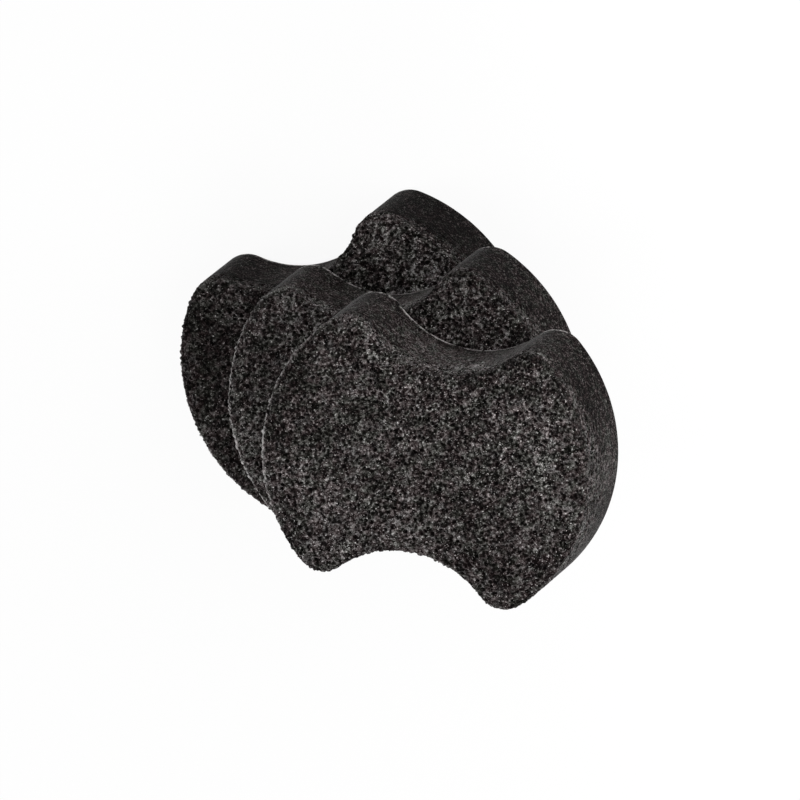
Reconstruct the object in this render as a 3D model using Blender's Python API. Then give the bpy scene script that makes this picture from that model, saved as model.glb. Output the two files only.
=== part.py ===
"""Three foam foot buffers fanned out in a stack.

Each buffer is a thick block of dense foam with a coarse scrubbing layer bonded to its top. Metres, +Z up. The
lowest buffer lies flat, its length along X and the centre of its underside at the origin. The other two lie on
it, each shifted and turned a little further, like a hand of cards.
"""

import math

import bmesh
import bpy

# Outline of a buffer: a disc with a hollow bitten out of each long side, which leaves four rounded horns
LENGTH = 0.105
WAIST_WIDTH = 0.0581
HOLLOW_RADIUS = 0.0324
HORN_RADIUS = 0.0092

# Foam body, the thick lower part that the hand grips
BODY_THICKNESS = 0.0297
BACK_EDGE_RADIUS = 0.0012

# Bond film, the thin melted sheet between the two foams, held back from their edge
FILM_THICKNESS = 0.0004
FILM_MARGIN = 0.001

# Scrub layer, the coarse top: upright at its edge, then crowned up to a flat middle
SCRUB_THICKNESS = 0.0045
SCRUB_EDGE_HEIGHT = 0.001
CROWN_RUN_SHARE = 0.73

# Room left between faces that touch on the real thing
TOUCHING_GAP = 0.0003

# The fan, from the lowest buffer up: each centre as shares of the length, and each turn about it
FAN_NAMES = ("lower", "middle", "upper")
FAN_CENTRE_SHARES = ((0.0, 0.0), (0.231, -0.124), (0.401, -0.266))
FAN_TURNS_DEGREES = (0.0, -14.8, -32.3)

# Facets along each arc of the outline and round each rounded edge
END_FACETS = 16
HORN_FACETS = 8
HOLLOW_FACETS = 12
BACK_EDGE_FACETS = 3
CROWN_FACETS = 6
SHARP_EDGE_DEGREES = 40.0

# Colour, roughness and metallic value of each material
DENSE_FOAM_LOOK = ((0.021, 0.018, 0.016), 0.88, 0.0)
MELTED_FILM_LOOK = ((0.030, 0.029, 0.028), 0.45, 0.0)
COARSE_FOAM_LOOK = ((0.016, 0.016, 0.016), 0.72, 0.0)


def clear_scene():
    """Take away whatever the file already holds."""
    for thing in list(bpy.data.objects):
        bpy.data.objects.remove(thing, do_unlink=True)


def horn_centre(hollow_centre):
    """Centre of the horn at +X +Y, whose arc runs into both the end arc and the hollow's arc.

    It lies one horn radius inside the end circle and one horn radius outside the hollow's circle, so it is
    where two circles cross.
    """
    from_middle = LENGTH / 2 - HORN_RADIUS
    from_hollow = HOLLOW_RADIUS + HORN_RADIUS
    along_y = (from_middle**2 - from_hollow**2 + hollow_centre**2) / (2 * hollow_centre)
    return math.sqrt(from_middle**2 - along_y**2), along_y


def arc_points(centre, radius, start, end, facets):
    """Points round a centre from one angle to another, without the last, which begins the next arc."""
    points = []
    for step in range(facets):
        angle = start + (end - start) * step / facets
        points.append((centre[0] + radius * math.cos(angle), centre[1] + radius * math.sin(angle)))
    return points


def outline(inset):
    """The outline of a buffer, counter-clockwise, drawn in by the inset.

    Every arc keeps its centre and angles and changes only its radius, so all outlines have matching points.
    """
    hollow_y = WAIST_WIDTH / 2 + HOLLOW_RADIUS
    horn_x, horn_y = horn_centre(hollow_y)
    to_horn = math.atan2(horn_y, horn_x)
    to_hollow = math.atan2(hollow_y - horn_y, -horn_x)
    end_radius = LENGTH / 2 - inset
    horn_radius = HORN_RADIUS - inset
    hollow_radius = HOLLOW_RADIUS + inset
    half = arc_points((0, 0), end_radius, -to_horn, to_horn, END_FACETS)
    half += arc_points((horn_x, horn_y), horn_radius, to_horn, to_hollow, HORN_FACETS)
    half += arc_points((0, hollow_y), hollow_radius, to_hollow - math.pi, -to_hollow, HOLLOW_FACETS)
    half += arc_points((-horn_x, horn_y), horn_radius, math.pi - to_hollow, math.pi - to_horn, HORN_FACETS)
    return half + [(-x, -y) for x, y in half]


def lofted_mesh(name, sections, material):
    """A closed mesh through the outlines at the given insets and heights, listed from the bottom up."""
    shape = bmesh.new()
    rings = [[shape.verts.new((x, y, height)) for x, y in outline(inset)] for inset, height in sections]
    for below, above in zip(rings, rings[1:]):
        for place, corner in enumerate(below):
            before = place - 1
            shape.faces.new((below[before], corner, above[place], above[before]))
    shape.faces.new(reversed(rings[0]))
    shape.faces.new(rings[-1])
    mesh = bpy.data.meshes.new(name)
    shape.to_mesh(mesh)
    shape.free()
    mesh.shade_smooth()
    mesh.set_sharp_from_angle(angle=math.radians(SHARP_EDGE_DEGREES))
    mesh.materials.append(material)
    return mesh


def quarter_turn(facets):
    """Angles from level to upright in equal steps, both ends included."""
    return [math.pi / 2 * step / facets for step in range(facets + 1)]


def foam_body_mesh(material):
    """The dense foam block: a flat back, a small round along its back edge, an upright wall and a flat top."""
    sections = []
    for angle in quarter_turn(BACK_EDGE_FACETS):
        inset = BACK_EDGE_RADIUS * (1 - math.sin(angle))
        sections.append((inset, BACK_EDGE_RADIUS * (1 - math.cos(angle))))
    sections.append((0.0, BODY_THICKNESS))
    return lofted_mesh("foam_body", sections, material)


def bond_film_mesh(material):
    """The melted sheet: the buffer's own outline, drawn in so that no edge of it shows."""
    return lofted_mesh("bond_film", [(FILM_MARGIN, 0.0), (FILM_MARGIN, FILM_THICKNESS)], material)


def scrub_layer_mesh(material):
    """The coarse top: a short upright edge, then a quarter of an ellipse up to the flat middle.

    The crown runs in by a share of the horn's radius, so that the horns keep a rounded tip at any size.
    """
    crown_run = CROWN_RUN_SHARE * HORN_RADIUS
    crown_rise = SCRUB_THICKNESS - SCRUB_EDGE_HEIGHT
    sections = [(0.0, 0.0)]
    for angle in quarter_turn(CROWN_FACETS):
        inset = crown_run * (1 - math.cos(angle))
        sections.append((inset, SCRUB_EDGE_HEIGHT + crown_rise * math.sin(angle)))
    return lofted_mesh("scrub_layer", sections, material)


def look(name, values):
    """A plain material of the given colour, roughness and metallic value."""
    colour, roughness, metallic = values
    material = bpy.data.materials.new(name)
    material.use_nodes = True
    shader = material.node_tree.nodes["Principled BSDF"]
    shader.inputs["Base Color"].default_value = (*colour, 1.0)
    shader.inputs["Roughness"].default_value = roughness
    shader.inputs["Metallic"].default_value = metallic
    return material


def place(name, mesh, carrier, height):
    """Stand a piece on its buffer's carrier at the given height above the buffer's underside."""
    piece = bpy.data.objects.new(name, mesh)
    piece.parent = carrier
    piece.location = (0, 0, height)
    bpy.context.scene.collection.objects.link(piece)


def build_fan():
    """Three alike buffers, each lying on the one below, shifted and turned."""
    foam_body = foam_body_mesh(look("dense_foam", DENSE_FOAM_LOOK))
    bond_film = bond_film_mesh(look("melted_film", MELTED_FILM_LOOK))
    scrub_layer = scrub_layer_mesh(look("coarse_foam", COARSE_FOAM_LOOK))
    film_height = BODY_THICKNESS + TOUCHING_GAP
    scrub_height = film_height + FILM_THICKNESS + TOUCHING_GAP
    level_height = scrub_height + SCRUB_THICKNESS + TOUCHING_GAP
    for level, name in enumerate(FAN_NAMES):
        x_share, y_share = FAN_CENTRE_SHARES[level]
        carrier = bpy.data.objects.new(f"{name}_buffer", None)
        carrier.location = (LENGTH * x_share, LENGTH * y_share, level_height * level)
        carrier.rotation_euler = (0, 0, math.radians(FAN_TURNS_DEGREES[level]))
        bpy.context.scene.collection.objects.link(carrier)
        place(f"{name}_foam_body", foam_body, carrier, 0)
        place(f"{name}_bond_film", bond_film, carrier, film_height)
        place(f"{name}_scrub_layer", scrub_layer, carrier, scrub_height)


clear_scene()
build_fan()
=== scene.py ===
"""Looks of three foam foot buffers fanned out in a stack.

Each buffer has two skins: the dense foam body with its fine-grained wall, and the coarse scrubbing layer on
top. Both are lattices of points laid over the buffer's outline and pitted by the cells of the foam.
"""

import itertools
import math

import bpy
import numpy as np
from mathutils import Matrix, Vector


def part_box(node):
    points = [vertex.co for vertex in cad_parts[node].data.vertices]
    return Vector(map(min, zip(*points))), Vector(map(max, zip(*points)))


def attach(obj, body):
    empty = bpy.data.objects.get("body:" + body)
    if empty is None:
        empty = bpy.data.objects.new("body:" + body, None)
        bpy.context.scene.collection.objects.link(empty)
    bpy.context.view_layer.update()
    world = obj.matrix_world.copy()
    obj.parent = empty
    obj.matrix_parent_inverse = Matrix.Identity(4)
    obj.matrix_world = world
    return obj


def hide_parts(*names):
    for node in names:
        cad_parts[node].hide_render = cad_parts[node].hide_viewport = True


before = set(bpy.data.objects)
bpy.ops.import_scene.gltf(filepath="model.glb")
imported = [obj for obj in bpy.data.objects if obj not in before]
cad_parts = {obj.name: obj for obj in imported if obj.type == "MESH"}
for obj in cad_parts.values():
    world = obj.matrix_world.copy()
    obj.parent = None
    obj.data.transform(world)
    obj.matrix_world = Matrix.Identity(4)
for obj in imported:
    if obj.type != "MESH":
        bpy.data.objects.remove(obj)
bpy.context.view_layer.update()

MM = 0.001

# The buffer's outline, as the part has it: its length comes from the frame
LOWEST_CORNER, HIGHEST_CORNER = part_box("lower_foam_body")
LENGTH = HIGHEST_CORNER[0] - LOWEST_CORNER[0]
WAIST_WIDTH = 58.1 * MM
HOLLOW_RADIUS = 32.4 * MM
HORN_RADIUS = 9.2 * MM

# Heights, within one buffer, of the dense foam's top and of the scrub layer's two faces, and the gap that
# keeps their skins apart where they meet
BODY_TOP = HIGHEST_CORNER[2] - LOWEST_CORNER[2]
SCRUB_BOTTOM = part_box("lower_scrub_layer")[0][2]
SCRUB_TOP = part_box("lower_scrub_layer")[1][2]
SEAM_GAP = 0.05 * MM

# Edges, and how many points their curves are drawn with
BACK_EDGE_RADIUS = 1.2 * MM
BACK_EDGE_POINTS = 12
SCRUB_EDGE_HEIGHT = 1.0 * MM
CROWN_RUN = 0.73 * HORN_RADIUS
CROWN_POINTS = 60
LIP_WIDTH = 0.7 * MM

# The fan, from the lowest buffer up
FAN_NAMES = ("lower", "middle", "upper")
FAN_TURNS_DEGREES = (0.0, -14.8, -32.3)

# Spacing of the points on the two skins, and the rings of points inside the rounded edges
SKIN_SPACING = 0.33 * MM
WALL_SPACING = 0.42 * MM
SCRUB_INNER_RINGS = 118
BACK_INNER_RINGS = 46

# Whole numbers that scatter the foam's cells. Each buffer has its own salt, and each pattern of cells on it
# has one that is worked out from the buffer's
CUBE_PRIMES = (73856093, 19349663, 83492791)
SALT_PRIME = 2654435761
MIXING_ROUNDS = ((15, 2246822519), (13, 3266489917))
LAST_SHIFT = 16
LOW_32_BITS = 0xFFFFFFFF
LOW_24_BITS = 0xFFFFFF
FIRST_SALT = 1
BUFFER_SALT_STEP = 3
PATTERN_SALT_SCALE = 10
SMALL_CELL_SALT = 5
SHRED_SALT = 20

# Cells of the two foams: how wide they are, how deep they bite, and how far from the wall between two cells,
# in cells, the slope into them starts and ends. The last two are how pitted the shallowest cell looks, and
# the share of the small cells' depth that dense foam has
COARSE_CELL = 1.45 * MM
COARSE_SHALLOWEST = 0.10 * MM
COARSE_DEEPEST = 1.05 * MM
COARSE_SLOPE = (0.05, 0.42)
SMALL_CELL = 0.85 * MM
SMALL_DEPTH = 0.16 * MM
SMALL_SLOPE = (0.0, 0.5)
SHALLOWEST_PIT = 0.25
DENSE_SMALL_SHARE = 0.25

# Slow unevenness of the cut face: the first wave's length, the depth, how many waves are added, the share of
# that length by which each is longer than the one before, and how far the salt and the wave's number turn it
# on each axis
CUT_WAVE = 9.0 * MM
CUT_WAVE_DEPTH = 0.25 * MM
WAVE_COUNT = 3
WAVE_STRETCH = 0.37
WAVE_TURNS = ((1.0, 2.1), (1.7, 1.0), (0.6, -1.0))

# Shreds round the edge of the scrub layer: how wide they are, how deep between them, how far they stand out,
# and how far from the gap between two of them, in shreds, the slope out of it starts and ends
SHRED_WIDTH = 1.5 * MM
SHRED_DEPTH = 0.55 * MM
SHRED_SWELL = 0.50 * MM
SHRED_SLOPE = (0.0, 0.55)

# How coarse the foam is where the layers meet, and how far down the wall that coarseness reaches: at least,
# and further or less round some places, each with its angle about the buffer, half its width and the extra
# reach. It fades between these two shares of the reach below the body's top
SEAM_COARSENESS = 0.70
COARSE_REACH = 7.0 * MM
COARSE_TONGUES = (
    (76.0, 16.0, 8.0 * MM),
    (-44.0, 22.0, 16.0 * MM),
    (0.0, 22.0, 10.0 * MM),
    (133.0, 14.0, -5.5 * MM),
    (48.0, 10.0, -5.5 * MM),
)
COARSE_FADE_SHARES = (1.5, 0.1)

# A painted rim highlight: a pale band along the back edge, standing in for light caught by that edge. Its
# constants are the heights between which it comes in and those between which it goes, the middle of its
# length, and the distances from there between which it fades. It leaves out the flat back, where the normal
# points down further than this
RIM_LIGHT_STARTS = (0.3 * MM, 0.7 * MM)
RIM_LIGHT_ENDS = (1.4 * MM, 2.6 * MM)
RIM_LIGHT_MIDDLE = -6.0 * MM
RIM_LIGHT_REACH = (35.0 * MM, 41.0 * MM)
DOWNWARD = -0.9

# Where the edge of the scrub layer has a painted highlight, a pale band standing in for light caught by the
# edge: each place with its angle about the buffer, half its width, its strength, and the upward parts of the
# normal between which it fades out
EDGE_HIGHLIGHT_PLACES = (
    (168.0, 38.0, 0.90, (0.40, 0.80)),
    (194.0, 18.0, 0.65, (0.60, 0.94)),
    (5.0, 12.0, 0.30, (0.55, 0.90)),
    (-76.0, 14.0, 0.40, (0.55, 0.90)),
)

# How much painted shade darkens that whole steep edge, and where that fades out
EDGE_PAINTED_SHADE = 0.08
EDGE_SHADE_SLOPES = (0.65, 0.95)

# Painted light and shade, mixed with uneven tone of the foam: paler and darker places, the same on every
# buffer, among them a painted highlight near the face's +X end and painted light on the wall at the waist,
# where the hollow lies in shade. Each has its centre and its reach along X, Y and Z, in millimetres, and its
# strength. The first eleven are on the face and the others on the wall
PAINTED_LIGHT_AND_BLOTCHES = (
    ((-40.0, 18.0, 35.0), (9.0, 14.0, 6.0), -0.050),
    ((38.5, 10.5, 35.0), (3.0, 11.0, 6.0), 0.115),
    ((30.0, 14.0, 35.0), (10.0, 13.0, 6.0), 0.055),
    ((24.0, -26.0, 35.0), (9.0, 9.0, 9.0), -0.020),
    ((-24.0, -33.0, 35.0), (11.0, 8.0, 8.0), 0.035),
    ((-19.0, 16.0, 35.0), (9.0, 7.0, 6.0), -0.030),
    ((48.0, 2.0, 34.0), (5.0, 6.0, 6.0), -0.050),
    ((48.0, -11.0, 34.0), (5.0, 6.0, 6.0), 0.050),
    ((27.0, -1.0, 35.0), (7.0, 6.0, 6.0), 0.045),
    ((-12.0, 39.0, 33.0), (9.0, 6.0, 4.0), -0.045),
    ((-34.0, 34.0, 31.0), (10.0, 8.0, 5.0), -0.050),
    ((52.0, 5.0, 9.0), (6.0, 9.0, 7.0), 0.090),
    ((53.0, 1.0, 24.0), (6.0, 7.0, 7.0), -0.040),
    ((45.5, 26.5, 21.0), (7.0, 7.0, 8.0), -0.045),
    ((40.0, 36.0, 15.0), (15.0, 13.0, 16.0), -0.045),
    ((0.0, 29.0, 14.0), (23.0, 8.0, 12.0), 0.120),
)

# Painted light and shade down the stack: how much paler each buffer's face and wall are drawn at its middle,
# or darker if below nought, and how much that grows for each millimetre along it, from the lowest buffer up.
# The lowest buffer's wall is darkened most, as painted shade
FACE_PAINTED_LIGHT_AND_SHADE = ((0.0055, 0.0007), (0.015, -0.0004), (-0.005, -0.0002))
WALL_PAINTED_LIGHT_AND_SHADE = ((-0.050, 0.0001), (-0.002, -0.0003), (0.0, 0.0))

# The foam's noises that waver about nought: each with its size, its detail and its roughness
WAVERING_NOISES = {
    "grain": (0.45 * MM, 2.0, 0.6),
    "mottle": (1.15 * MM, 2.0, 0.6),
    "patches": (4.5 * MM, 2.0, 0.5),
    "drift": (16.0 * MM, 1.0, 0.5),
}

# Its other patterns: their sizes, the glints' detail, how much some are squeezed along X, Y and Z, and the
# values between which they come in
LAYER_SIZE = 1.8 * MM
LAYER_SQUEEZE = (1, 1, 2.6)
BUBBLE_SIZE = 1.25 * MM
BUBBLE_MIDDLE = 0.45
PORE_SIZE = 2.0 * MM
PORE_STEP = (0.33, 0.19)
GLINT_SIZE = 0.55 * MM
GLINT_DETAIL = 1.0
GLINT_STEP = (0.67, 0.73)
RUST_SIZE = 3.2 * MM
RUST_STEP = (0.32, 0.60)
DENSE_RUST = 0.1
MOSS_SIZE = 3.6 * MM
MOSS_SQUEEZE = (0.8, 1.2, 1)
MOSS_STEP = (0.42, 0.66)

# Tones, on the eye's own even scale from nought to one: each foam's plain tone and how strongly each pattern
# shows in it, then the painted light and shade: the painted highlight on the scrub layer's edge, the painted
# shade in pits and open pores, the painted glints, the painted light and shade mixed with blotches, and the
# painted highlight along the back edge
DENSE_TONE = 0.094
DENSE_PATTERNS = (("grain", 1.2), ("mottle", 0.7), ("patches", 0.15), ("layers", 0.35), ("drift", 0.1))
COARSE_TONE = 0.238
COARSE_PATTERNS = (("mottle", 0.76), ("grain", 0.84), ("patches", 0.35), ("drift", 0.22), ("bubbles", 0.36))
EDGE_HIGHLIGHT_TONE = 0.50
EDGE_HIGHLIGHT_PATTERNS = (("mottle", 1.2), ("patches", 1.2))
PAINTED_PIT_SHADE = 0.85
PAINTED_PORE_SHADE = 0.8
PAINTED_GLINT_TONE = 0.46
BLOTCH_AND_LIGHT_CONTRAST = 4.5
RIM_LIGHT_TONE = 0.60
RIM_LIGHT_STEP = (-0.24, 0.06)
DARKEST_TONE = 0.02
PALEST_TONE = 0.72
TONE_GAMMA = 2.2

# How far the edge between the two foams wanders with the patches, and the coarseness between which one
# foam's tone gives way to the other's
EDGE_WANDER = 0.4
COARSE_STEP = (0.05, 0.70)

# Small shifts of colour that are added to the grey, and the grey's two ends
GREY_CAST = (0.010, 0.002, 0.0, 1)
BROWN_CAST = (0.025, 0.001, 0.0, 1)
OLIVE_CAST = (0.012, 0.0095, 0.0, 1)
BLACK = (0, 0, 0, 1)
WHITE = (1, 1, 1, 1)

# Gloss and relief of the foams. The dense foam's sheen draws a thin pale line where its wall turns away
FOAM_ROUGHNESS = 0.9
GLOSSY_RIBS = 0.3
GLOSSY_RIB_STEP = (0.4, 0.75)
FOAM_SPECULAR_LEVEL = 0.05
COARSE_SHEEN = 0.03
DENSE_SHEEN = 0.18
SHEEN_ROUGHNESS = 0.14
RELIEF_CELL = 0.62 * MM
DENSE_RELIEF = 0.5
COARSE_RELIEF = 0.8
GRAIN_RELIEF = 0.6
RELIEF_DEPTH = 0.25 * MM
RELIEF_STRENGTH = 0.8

# The melted sheet between the foams: the size and depth of its ripple, its colours, and its roughness, which
# rises with the ripple
FILM_RIPPLE = 2.5 * MM
FILM_RIPPLE_DEPTH = 0.1 * MM
FILM_COLOURS = ((0.022, 0.021, 0.020, 1), (0.040, 0.038, 0.036, 1))
FILM_ROUGHNESS = 0.35
FILM_ROUGHNESS_RISE = 0.2

# The colour sockets of a Mix node and its colour output, by number because others share their names
MIX_FIRST_COLOUR = 6
MIX_SECOND_COLOUR = 7
MIX_COLOUR_OUTPUT = 2

# Camera
CAMERA_AZIMUTH_DEGREES = 16.2
CAMERA_ELEVATION_DEGREES = 66.4
CAMERA_ROLL_DEGREES = 129.05
CAMERA_DISTANCE = 9.0
PICTURE_WIDTH_AT_AIM = 244.9 * MM
SENSOR_WIDTH = 36.0
AIM_LEFT_OF_BUFFER = 7.8 * MM
AIM_ABOVE_BUFFER = 19.1 * MM

# Ground and light. Each lamp has a name, its direction from the stack by the camera's right, up and back,
# its distance, its width and height, and its power in watts
FLOOR_HALF_WIDTH = 12.0
FLOOR_CORNERS = ((-1, -1), (1, -1), (1, 1), (-1, 1))
FLOOR_WHITE_SHARE = 0.92
FLOOR_COLOUR = (0.9, 0.9, 0.9, 1)
WORLD_STRENGTH = 0.24
LAMPS = (
    ("front_sheet", (0.32, -0.12, 1.0), 0.40, (0.28, 0.28), 0.70),
    ("low_strip", (0.0, -0.9, 0.45), 0.90, (0.90, 0.35), 4.20),
    ("left_strip", (-0.85, -0.25, 0.45), 0.90, (0.35, 0.90), 2.90),
    ("right_strip", (0.90, 0.05, 0.42), 0.90, (0.35, 0.90), 0.80),
    ("near_top", (0.20, 0.55, 0.85), 0.26, (0.15, 0.15), 0.25),
    ("near_right", (0.80, 0.10, 0.60), 0.26, (0.15, 0.15), 0.28),
)


# Camera

def camera_axes():
    """The camera's right, up and back directions. It looks down at the stack, rolled clockwise."""
    azimuth = math.radians(CAMERA_AZIMUTH_DEGREES)
    elevation = math.radians(CAMERA_ELEVATION_DEGREES)
    level = math.cos(elevation)
    back = Vector((math.cos(azimuth) * level, math.sin(azimuth) * level, math.sin(elevation)))
    level_right = Vector((0, 0, 1)).cross(back).normalized()
    level_up = back.cross(level_right)
    roll = math.radians(CAMERA_ROLL_DEGREES)
    up = level_up * math.cos(roll) + level_right * math.sin(roll)
    return up.cross(back), up, back


def buffer_centre(name):
    """Centre of a buffer's underside."""
    low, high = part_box(f"{name}_foam_body")
    return Vector(((low[0] + high[0]) / 2, (low[1] + high[1]) / 2, low[2]))


def aim_point():
    """The middle of the picture: beside and above the upper buffer's seam, as the camera sees it."""
    right, up, _ = camera_axes()
    seam_middle = buffer_centre("upper") + Vector((0, 0, SCRUB_BOTTOM))
    return seam_middle - right * AIM_LEFT_OF_BUFFER + up * AIM_ABOVE_BUFFER


def make_camera():
    """A long lens far off, because the photograph has almost no perspective."""
    right, up, back = camera_axes()
    data = bpy.data.cameras.new("camera")
    data.sensor_width = SENSOR_WIDTH
    data.lens = SENSOR_WIDTH * CAMERA_DISTANCE / PICTURE_WIDTH_AT_AIM
    data.clip_end = 2 * CAMERA_DISTANCE
    camera = bpy.data.objects.new("camera", data)
    turned = Matrix((right, up, back)).transposed().to_4x4()
    camera.matrix_world = Matrix.Translation(aim_point() + back * CAMERA_DISTANCE) @ turned
    bpy.context.scene.collection.objects.link(camera)
    bpy.context.scene.camera = camera


# Shape of the skins

def outline_arcs():
    """The eight tangent arcs of the outline, from the horn at +X -Y counter-clockwise.

    Each row is centre x, centre y, signed radius, and the directions of the outward normal at its two ends.
    A point of the outline is the centre plus the signed radius times the normal, so a hollow's radius is
    negative.
    """
    hollow_y = WAIST_WIDTH / 2 + HOLLOW_RADIUS
    from_middle = LENGTH / 2 - HORN_RADIUS
    from_hollow = HOLLOW_RADIUS + HORN_RADIUS
    horn_y = (from_middle**2 - from_hollow**2 + hollow_y**2) / (2 * hollow_y)
    horn_x = math.sqrt(from_middle**2 - horn_y**2)
    to_end = math.atan2(horn_y, horn_x)
    to_hollow = math.atan2(hollow_y - horn_y, -horn_x)
    half = [
        (horn_x, -horn_y, HORN_RADIUS, -to_hollow, -to_end),
        (0, 0, LENGTH / 2, -to_end, to_end),
        (horn_x, horn_y, HORN_RADIUS, to_end, to_hollow),
        (0, hollow_y, -HOLLOW_RADIUS, to_hollow, math.pi - to_hollow),
    ]
    opposite = [(-x, -y, radius, first + math.pi, last + math.pi) for x, y, radius, first, last in half]
    return np.array(half + opposite)


ARCS = outline_arcs()


def on_outline(place):
    """Arc centre, signed radius and outward normal at a place from 0 to 4, one unit a side of the buffer.

    A side runs from the middle of one horn to the middle of the next, at an even pace along its arcs.
    """
    length = np.abs(ARCS[:, 2] * (ARCS[:, 4] - ARCS[:, 3]))
    begins = np.concatenate(([0.0], np.cumsum(length)))
    horn_middles = begins[0:8:2] + length[0::2] / 2
    side_lengths = length[1::2] + length[0::2]
    side = np.floor(place).astype(int) % 4
    travelled = (horn_middles[side] + (place - np.floor(place)) * side_lengths[side]) % begins[-1]
    arc = np.searchsorted(begins, travelled, side="right") - 1
    share = (travelled - begins[arc]) / length[arc]
    direction = ARCS[arc, 3] + share * (ARCS[arc, 4] - ARCS[arc, 3])
    return ARCS[arc, :2], ARCS[arc, 2], np.stack((np.cos(direction), np.sin(direction)), axis=-1)


def square_lattice(rings):
    """Ring number and place round the outline of each point of a square lattice.

    The ring number is the larger of the distances from the middle row and the middle column. The place goes
    round the ring counter-clockwise from its corner at +X -Y, one unit a side.
    """
    steps = np.arange(-rings, rings + 1)
    x, y = np.meshgrid(steps, steps)
    ring = np.maximum(np.abs(x), np.abs(y))
    side_length = np.maximum(2 * ring, 1)
    right = (x == ring) & (y < ring)
    top = (y == ring) & (x > -ring)
    left = (x == -ring) & (y > -ring)
    bottom = (y == -ring) & (x < ring)
    travelled = [y + ring, side_length + ring - x, 2 * side_length + ring - y, 3 * side_length + x + ring]
    place = np.select([right, top, left, bottom], travelled, 0) / side_length
    return ring.ravel(), place.ravel()


def along_profile(corners, spacing):
    """A profile's stations at an even spacing along it, with every column carried along in proportion."""
    steps = np.hypot(np.diff(corners[:, 0]), np.diff(corners[:, 1]))
    travelled = np.concatenate(([0.0], np.cumsum(steps)))
    stations = np.linspace(0, travelled[-1], int(round(travelled[-1] / spacing)) + 1)
    return np.stack([np.interp(stations, travelled, column) for column in corners.T], axis=1)


def scrub_profile():
    """Stations from the flat top outwards and down: a quarter of an ellipse, then the upright edge.

    Columns are inset, height and the normal's angle above level.
    """
    angle = np.linspace(math.pi / 2, 0, CROWN_POINTS)
    rise = SCRUB_TOP - SCRUB_BOTTOM - SCRUB_EDGE_HEIGHT
    inset = CROWN_RUN * (1 - np.cos(angle))
    height = SCRUB_BOTTOM + SCRUB_EDGE_HEIGHT + rise * np.sin(angle)
    tilt = np.arctan2(np.sin(angle) / rise, np.cos(angle) / CROWN_RUN)
    crown = np.stack((inset, height, tilt), axis=1)
    foot = [(0.0, BODY_TOP + SEAM_GAP, 0.0)]
    return along_profile(np.concatenate((crown, foot)), SKIN_SPACING)


def body_profile():
    """Stations from the flat back outwards and up: the rounded back edge, then the wall.

    Columns are inset, height and the normal's angle above level.
    """
    angle = np.linspace(0, math.pi / 2, BACK_EDGE_POINTS)
    inset = BACK_EDGE_RADIUS * (1 - np.sin(angle))
    height = BACK_EDGE_RADIUS * (1 - np.cos(angle))
    edge = np.stack((inset, height, angle - math.pi / 2), axis=1)
    wall = [(0.0, BODY_TOP, 0.0)]
    return along_profile(np.concatenate((edge, wall)), WALL_SPACING)


def skin_points(profile, inner_rings):
    """Points and normals of a skin, and its number of rings.

    The outermost rings of the lattice follow the profile round the outline, drawn in by each station's
    inset. The inner rings are the first station's ring, shrunk evenly to the centre at the same height.
    """
    rings = inner_rings + len(profile) - 1
    ring, place = square_lattice(rings)
    station = np.maximum(ring - inner_rings, 0)
    inset, height, tilt = profile[station].T
    shrink = np.minimum(ring / inner_rings, 1.0)
    centre, radius, outward = on_outline(place)
    flat = (centre + (radius - inset)[:, None] * outward) * shrink[:, None]
    points = np.concatenate((flat, height[:, None]), axis=1)
    normals = np.concatenate((outward * np.cos(tilt)[:, None], np.sin(tilt)[:, None]), axis=1)
    normals[ring < inner_rings] = (0, 0, np.sign(profile[0, 2]))
    return points, normals, rings


# Cells of the foam

def scattered(cube, salt):
    """A number from nought to one for each whole-numbered cube, the same in every run.

    The cube's coordinates and the salt, each times its prime, are mixed bit by bit until neighbours are
    unlike.
    """
    mixed = salt * SALT_PRIME
    for axis, prime in enumerate(CUBE_PRIMES):
        mixed = mixed ^ cube[:, axis] * prime
    for shift, prime in MIXING_ROUNDS:
        mixed = (mixed ^ (mixed >> shift)) * prime & LOW_32_BITS
    return ((mixed ^ (mixed >> LAST_SHIFT)) & LOW_24_BITS) / LOW_24_BITS


def cells(points, size, salt):
    """Which cell of the foam each point is in.

    One seed lies somewhere in each cube of the given size. The first result is how much farther the second
    nearest seed is than the nearest, so it is nought on the wall between two cells. The second is a number
    from nought to one for the cell.
    """
    scaled = points / size
    home = np.floor(scaled).astype(np.int64)
    nearest = np.full(len(points), np.inf)
    second = np.full(len(points), np.inf)
    number = np.zeros(len(points))
    for step in itertools.product((-1, 0, 1), repeat=3):
        cube = home + step
        seed = cube + np.stack([scattered(cube, salt + axis) for axis in (1, 2, 3)], axis=1)
        distance = np.linalg.norm(scaled - seed, axis=1)
        closer = distance < nearest
        second = np.where(closer, nearest, np.minimum(second, distance))
        number = np.where(closer, scattered(cube, salt + 4), number)
        nearest = np.where(closer, distance, nearest)
    return second - nearest, number


def smooth_step(value, start, end):
    """Nought below start, one above end, and a smooth climb between."""
    share = np.clip((value - start) / (end - start), 0, 1)
    return share * share * (3 - 2 * share)


def between(first, second, share):
    """From the first, where the share is nought, to the second, where it is one."""
    return first + (second - first) * share


def bell(points, middle, half_width):
    """A bell curve of the angle about the buffer, in degrees: one at the middle, nought far from it."""
    angle = np.degrees(np.arctan2(points[:, 1], points[:, 0]))
    away = (angle - middle + 180) % 360 - 180
    return np.exp(-((away / half_width) ** 2))


def waves(points, length, salt):
    """A slow unevenness from nought to one: sine waves in unlike directions, added."""
    total = np.zeros(len(points))
    for wave in range(WAVE_COUNT):
        x_turn, y_turn, z_turn = (by_salt * salt + by_wave * wave for by_salt, by_wave in WAVE_TURNS)
        direction = np.array((math.sin(x_turn), math.cos(y_turn), math.sin(z_turn)))
        wave_length = length * (1 + WAVE_STRETCH * wave)
        total += np.sin(points @ direction * (2 * math.pi / wave_length) + salt * wave)
    return 0.5 + total / (2 * WAVE_COUNT)


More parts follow.
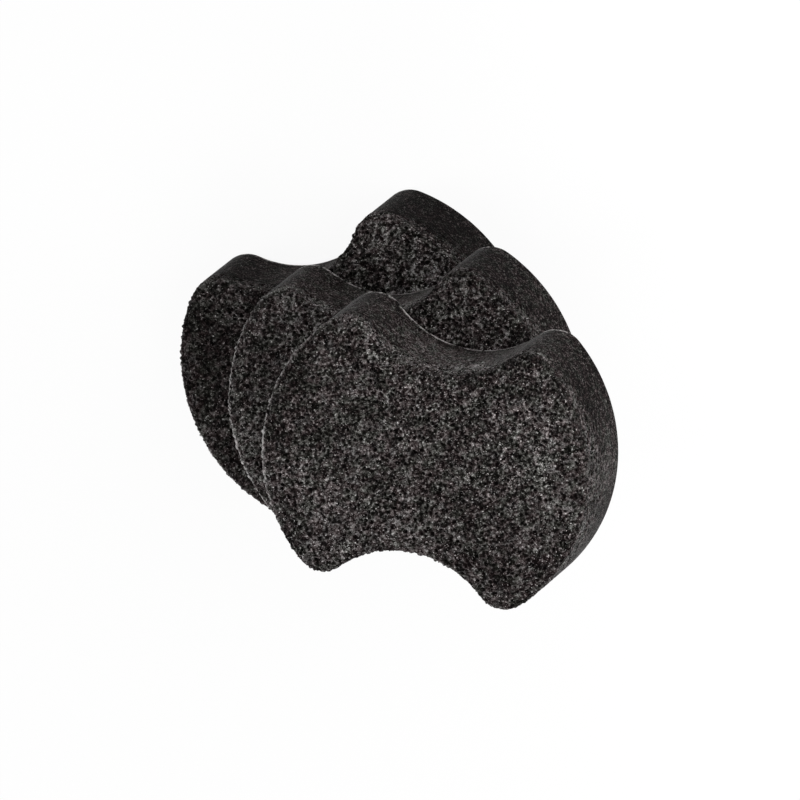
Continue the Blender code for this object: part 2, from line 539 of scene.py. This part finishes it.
def shreds(points, normals, coarseness, salt):
    """How far each point stands out sideways, less how deep the gaps between the edge's shreds are there.

    The pattern is the same at every height, so that it also shows in the buffer's outline.
    """
    flat = points * (1, 1, 0)
    gap, number = cells(flat, SHRED_WIDTH, PATTERN_SALT_SCALE * salt + SHRED_SALT)
    apart = 1 - smooth_step(gap, *SHRED_SLOPE)
    sideways = np.linalg.norm(normals[:, :2], axis=1)
    cut = SHRED_DEPTH * np.maximum(apart, number * number)
    return (SHRED_SWELL - cut) * coarseness * sideways


def bite(points, coarseness, salt):
    """How deep the surface is bitten at each point, and how deep in a cell it looks, from nought to one.

    The depth is a coarse cell's, times the coarseness, plus a small cell's, plus a slow wave on coarse foam.
    """
    gap, number = cells(points, COARSE_CELL, PATTERN_SALT_SCALE * salt)
    small_gap, small_number = cells(points, SMALL_CELL, PATTERN_SALT_SCALE * salt + SMALL_CELL_SALT)
    opened = smooth_step(gap, *COARSE_SLOPE)
    cell_depth = between(COARSE_SHALLOWEST, COARSE_DEEPEST, number)
    small = smooth_step(small_gap, *SMALL_SLOPE) * SMALL_DEPTH * small_number
    depth = opened * cell_depth * coarseness + small * between(DENSE_SMALL_SHARE, 1, coarseness)
    depth += CUT_WAVE_DEPTH * waves(points, CUT_WAVE, salt) * coarseness
    return depth, opened * between(SHALLOWEST_PIT, 1, number) * coarseness


# Fields that the materials read

def coarse_share(points):
    """How coarse the foam is at each point: one on the scrub layer, fading to nought down the wall."""
    reach = np.full(len(points), COARSE_REACH)
    for middle, half_width, extra in COARSE_TONGUES:
        reach += extra * bell(points, middle, half_width)
    height = points[:, 2]
    fade_foot, fade_top = (BODY_TOP - share * reach for share in COARSE_FADE_SHARES)
    wall = smooth_step(height, fade_foot, fade_top)
    edge = smooth_step(height, BODY_TOP, SCRUB_BOTTOM + SCRUB_EDGE_HEIGHT)
    return SEAM_COARSENESS * wall + (1 - SEAM_COARSENESS) * edge


def blotches_with_painted_light(points, tone, growth):
    """Painted light and shade, mixed with uneven tone: how much paler each point is drawn than plain foam,
    or darker if below nought.

    It is the tone, plus the growth times x in millimetres, plus each blotch's strength times a soft bell
    curve of the distance from its centre in reaches.
    """
    total = tone + growth * points[:, 0] / MM
    for centre, reach, strength in PAINTED_LIGHT_AND_BLOTCHES:
        away = (points - np.array(centre) * MM) / (np.array(reach) * MM)
        total += strength * np.exp(-np.sum(away * away, axis=1))
    return total


def painted_edge_light_and_shade(points, normals):
    """Painted highlight on the steep edge at each point, up to about one. Below nought it is painted shade.
    """
    upward = normals[:, 2]
    edge_light_and_shade = -EDGE_PAINTED_SHADE * (1 - smooth_step(upward, *EDGE_SHADE_SLOPES))
    for middle, half_width, strength, slopes in EDGE_HIGHLIGHT_PLACES:
        edge_light_and_shade += strength * bell(points, middle, half_width) * (1 - smooth_step(upward, *slopes))
    return edge_light_and_shade


def painted_rim_highlight(points, normals):
    """Painted rim highlight at each point, from nought to one: a band just above the back edge, along its
    middle.
    """
    height = points[:, 2]
    painted_rim_light = smooth_step(height, *RIM_LIGHT_STARTS) - smooth_step(height, *RIM_LIGHT_ENDS)
    painted_rim_light *= 1 - smooth_step(np.abs(points[:, 0] - RIM_LIGHT_MIDDLE), *RIM_LIGHT_REACH)
    return painted_rim_light * (normals[:, 2] > DOWNWARD)


# Meshes

def rim_indices(rings):
    """The lattice's outermost ring, counter-clockwise."""
    size = 2 * rings + 1
    index = np.arange(size * size).reshape(size, size)
    return np.concatenate((index[:-1, -1], index[-1, :0:-1], index[:0:-1, 0], index[0, :-1]))


def skin_mesh(name, points, rings, cap_rows, facing_up, fields):
    """A closed mesh: the lattice's squares, then the given rows on from its rim, then a fan to the centre.

    Each row is an inset, measured towards the centre line of the outline, and a height.
    """
    size = 2 * rings + 1
    index = np.arange(size * size).reshape(size, size)
    corners = (index[:-1, :-1], index[:-1, 1:], index[1:, 1:], index[1:, :-1])
    squares = np.stack(corners, axis=-1).reshape(-1, 4)
    rim = rim_indices(rings)
    count = len(rim)
    _, place = square_lattice(rings)
    centre, radius, outward = on_outline(place[rim])
    rows = [points]
    edges = [rim]
    for inset, height in cap_rows:
        flat = centre + (radius - inset)[:, None] * outward
        edges.append(np.arange(count) + sum(len(row) for row in rows))
        rows.append(np.concatenate((flat, np.full((count, 1), height)), axis=1))
    hub = sum(len(row) for row in rows)
    rows.append(np.array([(0.0, 0.0, cap_rows[-1][1])]))
    for outer, inner in zip(edges, edges[1:]):
        band = np.stack((np.roll(outer, -1), outer, inner, np.roll(inner, -1)), axis=1)
        squares = np.concatenate((squares, band))
    fan = np.stack((np.roll(edges[-1], -1), edges[-1], np.full(count, hub)), axis=1)
    faces = squares.tolist() + fan.tolist()
    if not facing_up:
        faces = [face[::-1] for face in faces]
    every_point = np.concatenate(rows)
    mesh = bpy.data.meshes.new(name)
    mesh.from_pydata(every_point.tolist(), [], faces)
    for field, values in fields.items():
        filled = np.zeros(len(every_point), dtype=np.float32)
        filled[:len(values)] = values
        mesh.attributes.new(field, "FLOAT", "POINT").data.foreach_set("value", filled)
    mesh.shade_smooth()
    return mesh


def placed(mesh, level):
    """The mesh turned and moved, point by point, to its buffer's place in the fan."""
    turn = Matrix.Rotation(math.radians(FAN_TURNS_DEGREES[level]), 4, "Z")
    mesh.transform(Matrix.Translation(buffer_centre(FAN_NAMES[level])) @ turn)
    return mesh


def add_skin(name, mesh, level, material, node):
    """Put a skin in the scene, in place of its plain solid."""
    piece = bpy.data.objects.new(name, placed(mesh, level))
    mesh.materials.append(material)
    bpy.context.scene.collection.objects.link(piece)
    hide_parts(node)
    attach(piece, f"{FAN_NAMES[level]}_buffer")


def torn_surface(points, normals, level):
    """The points moved by the cells and shreds, and the fields of how pitted and how coarse they are."""
    coarseness = coarse_share(points)
    salt = FIRST_SALT + BUFFER_SALT_STEP * level
    depth, pit = bite(points, coarseness, salt)
    outward = shreds(points, normals, coarseness, salt) - depth
    return points + normals * outward[:, None], {"pit": pit, "coarse": coarseness}


def scrub_skin(level, material):
    """The coarse scrubbing layer, with a lip round its underside that meets the dense foam."""
    name = f"{FAN_NAMES[level]}_scrub_skin"
    points, normals, rings = skin_points(scrub_profile(), SCRUB_INNER_RINGS)
    torn, fields = torn_surface(points, normals, level)
    # Painted highlight and painted shade on the scrub layer's edge
    fields["edge_light_and_shade"] = painted_edge_light_and_shade(points, normals)
    # Painted light and shade, mixed with blotches of uneven tone
    fields["blotch_and_painted_light"] = blotches_with_painted_light(points, *FACE_PAINTED_LIGHT_AND_SHADE[level])
    underside = [(LIP_WIDTH, BODY_TOP + SEAM_GAP), (LIP_WIDTH, SCRUB_BOTTOM)]
    mesh = skin_mesh(name, torn, rings, underside, True, fields)
    add_skin(name, mesh, level, material, f"{FAN_NAMES[level]}_scrub_layer")


def body_skin(level, material):
    """The dense foam body: flat back, rounded back edge and fine-grained wall, closed by its hidden top."""
    name = f"{FAN_NAMES[level]}_body_skin"
    points, normals, rings = skin_points(body_profile(), BACK_INNER_RINGS)
    torn, fields = torn_surface(points, normals, level)
    # Painted rim highlight along the back edge
    fields["painted_rim_light"] = painted_rim_highlight(points, normals)
    # Painted light and shade, mixed with blotches of uneven tone
    fields["blotch_and_painted_light"] = blotches_with_painted_light(points, *WALL_PAINTED_LIGHT_AND_SHADE[level])
    mesh = skin_mesh(name, torn, rings, [(LIP_WIDTH, BODY_TOP)], False, fields)
    add_skin(name, mesh, level, material, f"{FAN_NAMES[level]}_foam_body")


# Materials

class Wire:
    """One output of a shader node. Python's operators on it add Math nodes, so a pattern reads as a sum."""

    def __init__(self, tree, socket):
        self.tree = tree
        self.socket = socket

    def math(self, operation, first, second):
        return self.tree.node("ShaderNodeMath", {"operation": operation}, {0: first, 1: second})

    def __add__(self, other):
        return self.math("ADD", self, other)

    def __sub__(self, other):
        return self.math("SUBTRACT", self, other)

    def __mul__(self, other):
        return self.math("MULTIPLY", self, other)

    def __pow__(self, other):
        return self.math("POWER", self, other)

    def __radd__(self, other):
        return self.math("ADD", other, self)

    def __rsub__(self, other):
        return self.math("SUBTRACT", other, self)

    def at_least(self, other):
        return self.math("MAXIMUM", self, other)

    def at_most(self, other):
        return self.math("MINIMUM", self, other)

    def step(self, start, end):
        """Nought before start, one past end, smooth between. The start may be the larger of the two."""
        settings = {"interpolation_type": "SMOOTHSTEP"}
        sockets = {"Value": self, "From Min": start, "From Max": end}
        return self.tree.node("ShaderNodeMapRange", settings, sockets)


class Tree:
    """A new material's nodes."""

    def __init__(self, name):
        self.material = bpy.data.materials.new(name)
        self.material.use_nodes = True
        self.nodes = self.material.node_tree.nodes
        self.links = self.material.node_tree.links
        self.nodes.clear()

    def node(self, kind, settings=None, sockets=None, output=0):
        """Add a node: its settings first, then the values or links of its sockets. Returns one output."""
        made = self.nodes.new(kind)
        for setting, value in (settings or {}).items():
            setattr(made, setting, value)
        for key, value in (sockets or {}).items():
            if isinstance(value, Wire):
                self.links.new(value.socket, made.inputs[key])
            else:
                made.inputs[key].default_value = value
        return Wire(self, made.outputs[output])

    def place(self):
        return self.node("ShaderNodeTexCoord", output="Object")

    def field(self, name):
        return self.node("ShaderNodeAttribute", {"attribute_name": name}, output="Fac")

    def noise(self, place, size, detail=2.0, rough=0.5):
        """Noise from nought to one whose blotches are about the given size."""
        sockets = {"Vector": place, "Scale": 1 / size, "Detail": detail, "Roughness": rough}
        return self.node("ShaderNodeTexNoise", {}, sockets)

    def wavering_noise(self, place, size, detail=2.0, rough=0.5):
        """The same noise, moved to waver about nought."""
        return self.noise(place, size, detail, rough) - 0.5

    def squeezed(self, place, scale):
        """The place with its axes scaled, so that a pattern on it is squeezed along the larger ones."""
        return self.node("ShaderNodeMapping", {}, {"Vector": place, "Scale": scale})

    def cell_distance(self, place, size):
        """Distance, in cells, to the nearest of the points scattered one to a cube of the given size."""
        settings = {"feature": "F1"}
        sockets = {"Vector": place, "Scale": 1 / size}
        return self.node("ShaderNodeTexVoronoi", settings, sockets, "Distance")

    def mix_colour(self, share, first, second):
        """From the first colour, where the share is nought, to the second, where it is one."""
        sockets = {"Factor": share, MIX_FIRST_COLOUR: first, MIX_SECOND_COLOUR: second}
        return self.node("ShaderNodeMix", {"data_type": "RGBA"}, sockets, MIX_COLOUR_OUTPUT)

    def toned(self, tone, shift):
        """The grey of a tone on the eye's even scale, with the same small shift of its colour at every tone.

        It is the tone to the power of gamma, plus the shift times that power's rate of change.
        """
        grey = self.mix_colour(tone ** TONE_GAMMA, BLACK, WHITE)
        rate = tone ** (TONE_GAMMA - 1.0) * TONE_GAMMA
        sockets = {0: shift, 1: rate, 2: grey}
        return self.node("ShaderNodeVectorMath", {"operation": "MULTIPLY_ADD"}, sockets)

    def bump(self, height, distance, strength=1.0):
        sockets = {"Height": height, "Distance": distance, "Strength": strength}
        return self.node("ShaderNodeBump", {}, sockets)

    def principled(self, **sockets):
        named = {key.replace("_", " "): value for key, value in sockets.items()}
        return self.node("ShaderNodeBsdfPrincipled", {}, named)

    def finish(self, shader):
        output = self.nodes.new("ShaderNodeOutputMaterial")
        self.links.new(shader.socket, output.inputs["Surface"])
        return self.material


def added(plain, patterns, strengths):
    """The plain tone, with each named pattern added at its strength."""
    tone = plain
    for name, strength in strengths:
        tone = tone + patterns[name] * strength
    return tone


def foam(name, sheen):
    """Black foam, drawn as a tone from nought to one on the eye's own even scale, and then tinted.

    Where the coarseness is nought the grain is fine. Where it is one, torn ribs with painted glints lie
    round pits that painted shade turns black.
    """
    tree = Tree(name)
    place = tree.place()
    pit = tree.field("pit")
    coarse = tree.field("coarse")
    # Fields of painted light and shade: along the back edge, on the scrub layer's edge, and mixed with
    # blotches
    painted_rim_light = tree.field("painted_rim_light")
    edge_light_and_shade = tree.field("edge_light_and_shade")
    blotch_and_painted_light = tree.field("blotch_and_painted_light")

    patterns = {noise: tree.wavering_noise(place, *kind) for noise, kind in WAVERING_NOISES.items()}
    patterns["layers"] = tree.wavering_noise(tree.squeezed(place, LAYER_SQUEEZE), LAYER_SIZE)
    patterns["bubbles"] = BUBBLE_MIDDLE - tree.cell_distance(place, BUBBLE_SIZE)
    pores = tree.cell_distance(place, PORE_SIZE).step(*PORE_STEP)
    glints = tree.noise(place, GLINT_SIZE, GLINT_DETAIL)

    dense_tone = added(DENSE_TONE, patterns, DENSE_PATTERNS)
    coarse_tone = added(COARSE_TONE, patterns, COARSE_PATTERNS)
    # Painted highlight on the scrub layer's edge, and painted shade where it is below nought
    coarse_tone = coarse_tone + edge_light_and_shade * added(EDGE_HIGHLIGHT_TONE, patterns, EDGE_HIGHLIGHT_PATTERNS)
    # Painted shade in the pits and open pores
    coarse_tone = coarse_tone * (1.0 - pit * PAINTED_PIT_SHADE) * (1.0 - pores * PAINTED_PORE_SHADE)
    # Painted glints: pale specks in the colour that stand in for highlights
    coarse_tone = coarse_tone + glints.step(*GLINT_STEP) * PAINTED_GLINT_TONE
    # Painted light and shade, with blotches, scale the coarse tone
    coarse_tone = (coarse_tone * (1.0 + blotch_and_painted_light * BLOTCH_AND_LIGHT_CONTRAST)).at_most(PALEST_TONE)
    share = (coarse + patterns["patches"] * EDGE_WANDER).step(*COARSE_STEP)
    # The dense foam takes the painted light and shade, with blotches, as an added tone
    tone = (dense_tone + blotch_and_painted_light) * (1.0 - share) + coarse_tone * share
    # Painted rim highlight: the back edge is drawn paler, towards the rim light's tone
    rim_light_here = painted_rim_light * (patterns["mottle"] + patterns["patches"]).step(*RIM_LIGHT_STEP)
    tone = tone + rim_light_here * (RIM_LIGHT_TONE + patterns["grain"] - tone)

    rust = (tree.noise(place, RUST_SIZE) + (1.0 - share) * DENSE_RUST).step(*RUST_STEP)
    moss = tree.noise(tree.squeezed(place, MOSS_SQUEEZE), MOSS_SIZE).step(*MOSS_STEP)
    shift = tree.mix_colour(moss, tree.mix_colour(rust, GREY_CAST, BROWN_CAST), OLIVE_CAST)
    colour = tree.toned(tone.at_least(DARKEST_TONE).at_most(1.0), shift)

    roughness = FOAM_ROUGHNESS - coarse * GLOSSY_RIBS * glints.step(*GLOSSY_RIB_STEP)
    relief = tree.cell_distance(place, RELIEF_CELL) * (DENSE_RELIEF + coarse * COARSE_RELIEF)
    relief = relief + patterns["grain"] * GRAIN_RELIEF
    shader = tree.principled(
        Base_Color=colour, Roughness=roughness, Normal=tree.bump(relief, RELIEF_DEPTH, RELIEF_STRENGTH),
        Sheen_Weight=sheen, Sheen_Roughness=SHEEN_ROUGHNESS, Specular_IOR_Level=FOAM_SPECULAR_LEVEL
    )
    return tree.finish(shader)


def bond_film():
    """The melted sheet between the foams: dark, half glossy and faintly rippled."""
    tree = Tree("bond_film")
    ripple = tree.noise(tree.place(), FILM_RIPPLE)
    shader = tree.principled(
        Base_Color=tree.mix_colour(ripple, *FILM_COLOURS), Normal=tree.bump(ripple, FILM_RIPPLE_DEPTH),
        Roughness=FILM_ROUGHNESS + ripple * FILM_ROUGHNESS_RISE
    )
    return tree.finish(shader)


# Ground and light

def white_ground():
    """A pale floor that the camera and its reflections see as nearly plain white, with a little shadow."""
    tree = Tree("ground")
    rays = tree.nodes.new("ShaderNodeLightPath")
    seen = Wire(tree, rays.outputs["Is Camera Ray"])
    glossy = Wire(tree, rays.outputs["Is Glossy Ray"])
    through = Wire(tree, rays.outputs["Is Transmission Ray"])
    shown = (seen + glossy + through).at_most(1.0) * FLOOR_WHITE_SHARE
    white = tree.node("ShaderNodeEmission", {}, {"Color": WHITE, "Strength": 1.0})
    matt = tree.node("ShaderNodeBsdfDiffuse", {}, {"Color": FLOOR_COLOUR})
    return tree.finish(tree.node("ShaderNodeMixShader", {}, {0: shown, 1: matt, 2: white}))


def make_floor():
    """A wide flat sheet just under the stack."""
    mesh = bpy.data.meshes.new("floor")
    corners = [(x * FLOOR_HALF_WIDTH, y * FLOOR_HALF_WIDTH, 0) for x, y in FLOOR_CORNERS]
    mesh.from_pydata(corners, [], [(0, 1, 2, 3)])
    mesh.materials.append(white_ground())
    floor = bpy.data.objects.new("floor", mesh)
    bpy.context.scene.collection.objects.link(floor)


def make_world():
    """Even light all round. The camera, reflections and what is seen through glass find it white."""
    world = bpy.data.worlds.new("studio")
    world.use_nodes = True
    nodes, links = world.node_tree.nodes, world.node_tree.links
    background = nodes["Background"]
    rays = nodes.new("ShaderNodeLightPath")
    strength = nodes.new("ShaderNodeMapRange")
    either = nodes.new("ShaderNodeMath")
    any_of_them = nodes.new("ShaderNodeMath")
    either.operation = any_of_them.operation = "MAXIMUM"
    links.new(rays.outputs["Is Camera Ray"], either.inputs[0])
    links.new(rays.outputs["Is Glossy Ray"], either.inputs[1])
    links.new(either.outputs[0], any_of_them.inputs[0])
    links.new(rays.outputs["Is Transmission Ray"], any_of_them.inputs[1])
    links.new(any_of_them.outputs[0], strength.inputs["Value"])
    strength.inputs["To Min"].default_value = WORLD_STRENGTH
    links.new(strength.outputs[0], background.inputs["Strength"])
    background.inputs["Color"].default_value = WHITE
    bpy.context.scene.world = world


def make_lamps():
    """Soft sheets of light round the stack, each facing the middle of the picture."""
    right, up, back = camera_axes()
    for name, (rightward, upward, backward), distance, size, power in LAMPS:
        data = bpy.data.lights.new(name, "AREA")
        data.shape = "RECTANGLE"
        data.size, data.size_y = size
        data.energy = power
        lamp = bpy.data.objects.new(name, data)
        towards = (right * rightward + up * upward + back * backward).normalized()
        lamp.location = aim_point() + towards * distance
        lamp.rotation_mode = "QUATERNION"
        lamp.rotation_quaternion = towards.to_track_quat("Z", "Y")
        bpy.context.scene.collection.objects.link(lamp)


def build_scene():
    """Camera first, then the buffers' skins, then the ground and light."""
    make_camera()
    coarse_foam = foam("coarse_foam", COARSE_SHEEN)
    dense_foam = foam("dense_foam", DENSE_SHEEN)
    film = bond_film()
    for level, name in enumerate(FAN_NAMES):
        scrub_skin(level, coarse_foam)
        body_skin(level, dense_foam)
        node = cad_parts[f"{name}_bond_film"]
        node.material_slots[0].material = film
    make_floor()
    make_world()
    make_lamps()
    bpy.context.scene.view_settings.view_transform = "Standard"


build_scene()
